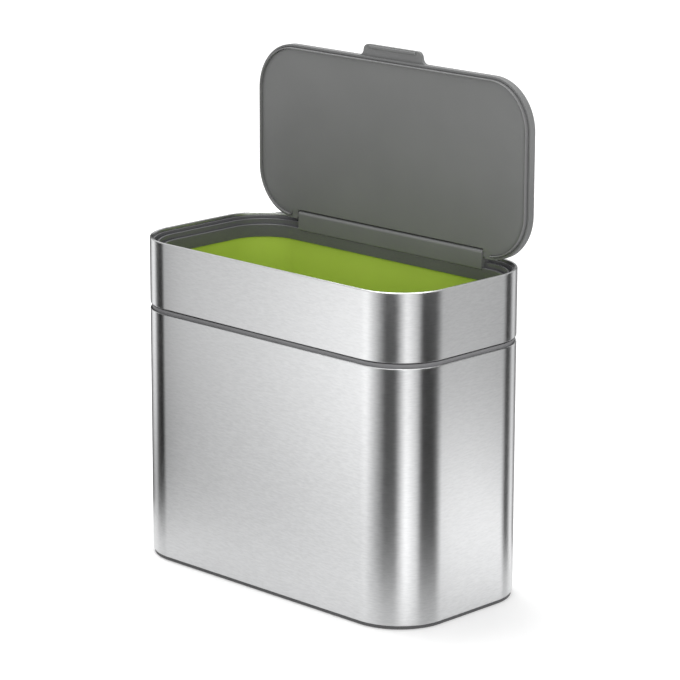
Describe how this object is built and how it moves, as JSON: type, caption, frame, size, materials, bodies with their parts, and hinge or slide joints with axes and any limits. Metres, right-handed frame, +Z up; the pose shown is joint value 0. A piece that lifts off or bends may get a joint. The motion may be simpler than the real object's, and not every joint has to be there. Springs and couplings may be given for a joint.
{
  "type": "countertop food waste bin",
  "caption": "Countertop food waste bin with a brushed steel body, a lift-off top section, a removable green inner bucket and a rear-hinged flip lid that stands open.",
  "frame": {"origin": "centre of the body at the underside of the anti-slip pads, on the worktop", "axes": "+Z up, -Y towards the front face that the lid's lift tab is on, X along the width of the body and along the hinge"},
  "size_m": [0.24, 0.1214, 0.328],
  "materials": {
    "brushed_steel": "fine horizontal brushing",
    "body_plastic": "fine satin texture",
    "lid_plastic": "fine satin texture",
    "green_plastic": "smooth satin",
    "soft_seal": "matt",
    "pad_rubber": "matt",
    "bright_steel": "plain bright"
  },
  "bodies": {
    "body": {"lower_shell": "brushed_steel", "base_tray": "body_plastic", "base_insert": "body_plastic", "base_screws": "bright_steel", "anti_slip_pads": "pad_rubber", "trim_ring": "body_plastic"},
    "bucket": {"inner_bucket": "green_plastic"},
    "top_section": {"upper_band": "brushed_steel", "rim_collar": "body_plastic", "locating_skirt": "body_plastic", "hinge_housing": "lid_plastic", "housing_screws": "bright_steel", "hinge_pins": "bright_steel", "friction_washers": "bright_steel"},
    "lid": {"lid_shell": "lid_plastic", "lid_inner_panel": "lid_plastic", "lid_gasket": "soft_seal"}
  },
  "joints": [
    {"name": "bucket_lift", "type": "slide", "parent": "body", "child": "bucket", "axis": [0, 0, 1], "range_m": [0, 0.18]},
    {"name": "top_lift", "type": "slide", "parent": "bucket", "child": "top_section", "axis": [0, 0, 1], "range_m": [0, 0.05]},
    {"name": "lid_hinge", "type": "hinge", "parent": "top_section", "child": "lid", "pos_m": [0, 0.05475, 0.20935], "axis": [1, 0, 0], "range_deg": [0, 90]}
  ]
}
